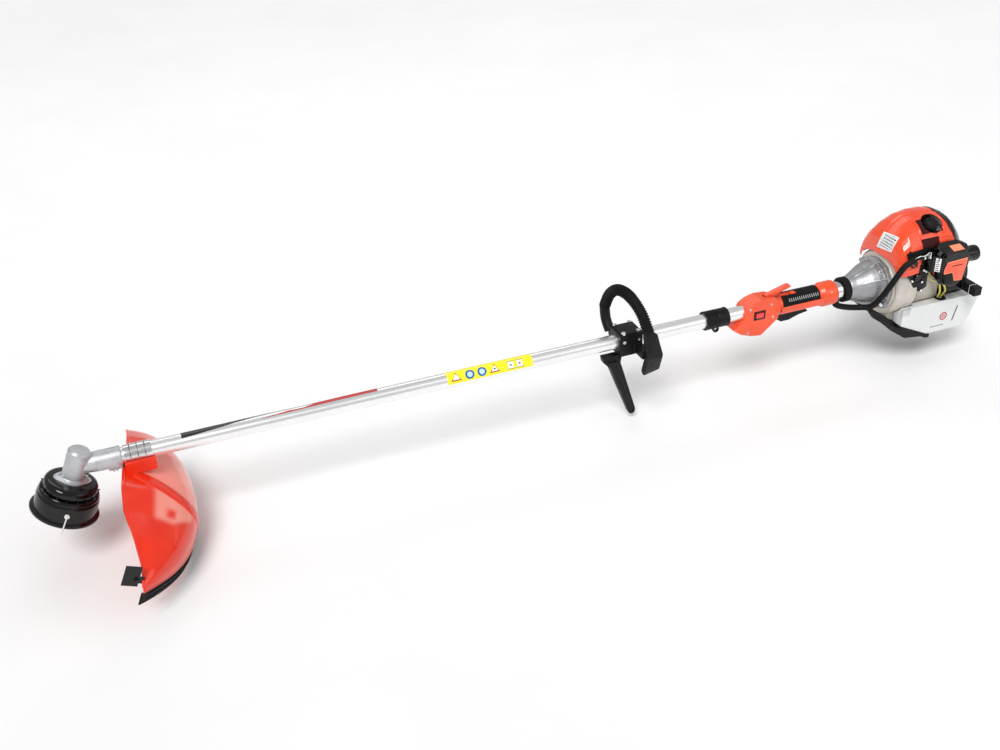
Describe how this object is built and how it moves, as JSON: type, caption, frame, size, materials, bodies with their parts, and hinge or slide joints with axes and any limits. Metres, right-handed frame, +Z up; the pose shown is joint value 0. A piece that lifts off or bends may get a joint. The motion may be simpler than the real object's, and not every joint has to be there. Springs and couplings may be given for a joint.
{
  "type": "brush cutter",
  "caption": "Petrol brush cutter: straight drive tube, loop handle, throttle grip, guard with line head, and a rear two-stroke engine with tank and recoil starter.",
  "frame": {"origin": "on the drive tube's axis, in the middle of its bare stretch between the guard and the loop handle", "axes": "+X along the drive tube towards the engine, +Z up with the machine's plane of symmetry vertical, -Y on the air filter's side"},
  "size_m": [1.8542, 0.372, 0.3129],
  "materials": {
    "tube_aluminium": "satin anodised",
    "cast_aluminium": "die-cast, lightly sand-textured",
    "steel": "machined",
    "bright_steel": "zinc plated",
    "black_plastic": "moulded, fine grain",
    "gloss_black": "moulded, semi-gloss",
    "black_rubber": "moulded rubber",
    "orange_plastic": "glossy moulded shell",
    "guard_plastic": "glossy, slightly translucent",
    "grip_orange": "moulded, satin",
    "tank_white": "translucent blow-moulded",
    "nylon": "extruded line",
    "fuel_hose": "clear yellow hose",
    "switch_red": "gloss",
    "primer_rubber": "clear rubber",
    "muffler_steel": "heat-proof paint"
  },
  "bodies": {
    "machine": {"drive_tube": "tube_aluminium", "shaft_bearings": "steel", "gearcase": "cast_aluminium", "tube_bolts": "bright_steel", "wrap_guard": "gloss_black", "guard_shell": "guard_plastic", "guard_saddle": "guard_plastic", "guard_clamp": "bright_steel", "guard_skirt": "black_rubber", "line_cutter": "steel", "loop_frame": "black_plastic", "loop_grip": "black_rubber", "handle_clamp": "black_plastic", "barrier_leg": "black_plastic", "harness_collar": "black_plastic", "throttle_housing": "grip_orange", "grip_pad": "black_rubber", "pivot_pins": "steel", "throttle_conduit": "black_rubber", "tube_clamp": "bright_steel", "isolator_ring": "black_rubber", "clutch_housing": "cast_aluminium", "housing_bolts": "bright_steel", "fan_housing": "cast_aluminium", "crankcase": "cast_aluminium", "cylinder_block": "cast_aluminium", "spark_plug": "bright_steel", "plug_cap": "black_rubber", "engine_cover": "orange_plastic", "rear_cover": "gloss_black", "muffler": "muffler_steel", "carburettor": "cast_aluminium", "air_filter_case": "gloss_black", "air_filter_cover": "gloss_black", "fuel_lines": "fuel_hose", "fuel_tank": "tank_white", "tank_stand": "black_plastic", "recoil_starter": "gloss_black"},
    "crank": {"crankshaft": "steel", "flywheel": "cast_aluminium", "clutch_shoes": "steel"},
    "driveline": {"drive_shaft": "steel", "clutch_drum": "steel", "drive_gear": "steel"},
    "head": {"arbor": "steel", "driven_gear": "steel", "head_housing": "gloss_black", "line_spool": "black_plastic", "line_exits": "nylon"},
    "knob": {"bump_knob": "black_plastic"},
    "trigger": {"throttle_trigger": "black_plastic"},
    "lockout": {"lockout_lever": "grip_orange"},
    "switch": {"stop_switch": "switch_red"},
    "choke": {"choke_lever": "black_plastic"},
    "primer": {"primer_bulb": "primer_rubber"},
    "piston_group": {"piston": "cast_aluminium", "connecting_rod": "steel"},
    "pulley": {"starter_pulley": "black_plastic"},
    "pull_grip": {"starter_grip": "black_plastic"},
    "tank_cap": {"fuel_cap": "black_plastic"}
  },
  "joints": [
    {"name": "crank_spin", "type": "hinge", "parent": "machine", "child": "crank", "pos_m": [1.08, 0, 0], "axis": [1, 0, 0], "continuous": true},
    {"name": "drive_spin", "type": "hinge", "parent": "machine", "child": "driveline", "pos_m": [0, 0, 0], "axis": [1, 0, 0], "continuous": true},
    {"name": "head_spin", "type": "hinge", "parent": "machine", "child": "head", "pos_m": [-0.55, 0, 0], "axis": [0.4035, 0, 0.915], "continuous": true},
    {"name": "bump_press", "type": "slide", "parent": "head", "child": "knob", "axis": [0.4035, 0, 0.915], "range_m": [0, 0.005], "stiffness_N_per_m": 1200, "springref_m": -0.004},
    {"name": "throttle_pull", "type": "hinge", "parent": "machine", "child": "trigger", "pos_m": [0.762, 0, -0.019], "axis": [0, -1, 0], "range_deg": [0, 8], "stiffness_Nm_per_rad": 0.5, "springref_deg": -11.46},
    {"name": "lockout_press", "type": "hinge", "parent": "machine", "child": "lockout", "pos_m": [0.737, 0, 0.02], "axis": [0, 1, 0], "range_deg": [0, 12], "stiffness_Nm_per_rad": 0.4, "springref_deg": -11.46},
    {"name": "stop_rock", "type": "hinge", "parent": "machine", "child": "switch", "pos_m": [0.713, -0.0165, -0.004], "axis": [0, 0, 1], "range_deg": [0, 8]},
    {"name": "choke_turn", "type": "hinge", "parent": "machine", "child": "choke", "pos_m": [1.055, -0.078, 0.049], "axis": [0, 1, 0], "range_deg": [-60, 0]},
    {"name": "primer_press", "type": "slide", "parent": "machine", "child": "primer", "axis": [0, 0, 1], "range_m": [0, 0.003], "stiffness_N_per_m": 300, "springref_m": -0.003},
    {"name": "piston_slide", "type": "slide", "parent": "machine", "child": "piston_group", "axis": [0, 0, -1], "range_m": [0, 0.028]},
    {"name": "starter_pull", "type": "slide", "parent": "machine", "child": "pull_grip", "axis": [0, -1, 0], "range_m": [0, 0.09], "stiffness_N_per_m": 40, "springref_m": -0.1},
    {"name": "pulley_turn", "type": "hinge", "parent": "machine", "child": "pulley", "pos_m": [1.16, 0, 0], "axis": [1, 0, 0], "range_deg": [-345, 0]},
    {"name": "cap_turn", "type": "hinge", "parent": "machine", "child": "tank_cap", "pos_m": [1.205, 0.028, -0.074], "axis": [1, 0, 0], "range_deg": [0, 180]}
  ],
  "couplings": [
    {"joint": "head_spin", "follows": "drive_spin", "ratio": -0.75},
    {"joint": "pulley_turn", "follows": "starter_pull", "rad_per_m": -63.29}
  ]
}
